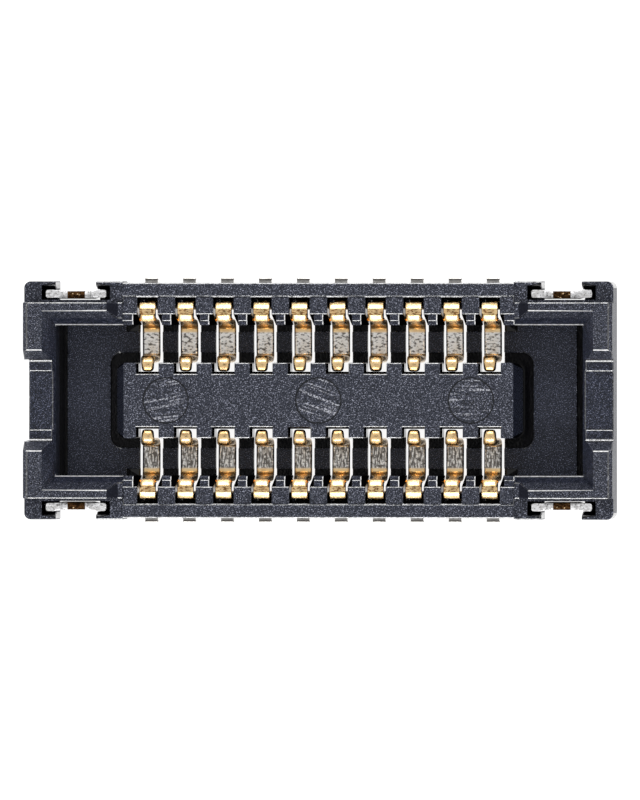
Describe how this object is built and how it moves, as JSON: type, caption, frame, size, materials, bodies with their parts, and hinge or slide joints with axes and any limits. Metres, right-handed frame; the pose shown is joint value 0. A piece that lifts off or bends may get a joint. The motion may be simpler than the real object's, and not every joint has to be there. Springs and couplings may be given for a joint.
{
  "type": "board-to-board connector receptacle",
  "caption": "Low-profile surface-mount receptacle with a moulded housing, two rows of formed spring contacts and corner fitting nails.",
  "frame": {"origin": "middle of the solder side, on the plane of the circuit board", "axes": "+X along the contact rows, +Y across them, +Z out of the mating side; the end with the moulding gate is at -X"},
  "size_m": [0.0062, 0.0026, 0.0008],
  "materials": {
    "housing_plastic": "matt moulded, glass-filled",
    "contact_gold": "bright gold plate over nickel",
    "nail_tin": "bright tin plate"
  },
  "bodies": {
    "root": {"housing": "housing_plastic", "contact_a01": "contact_gold", "contact_a02": "contact_gold", "contact_a03": "contact_gold", "contact_a04": "contact_gold", "contact_a05": "contact_gold", "contact_a06": "contact_gold", "contact_a07": "contact_gold", "contact_a08": "contact_gold", "contact_a09": "contact_gold", "contact_a10": "contact_gold", "contact_b01": "contact_gold", "contact_b02": "contact_gold", "contact_b03": "contact_gold", "contact_b04": "contact_gold", "contact_b05": "contact_gold", "contact_b06": "contact_gold", "contact_b07": "contact_gold", "contact_b08": "contact_gold", "contact_b09": "contact_gold", "contact_b10": "contact_gold", "nail_a_left": "nail_tin", "nail_a_right": "nail_tin", "nail_b_left": "nail_tin", "nail_b_right": "nail_tin"}
  },
  "joints": []
}
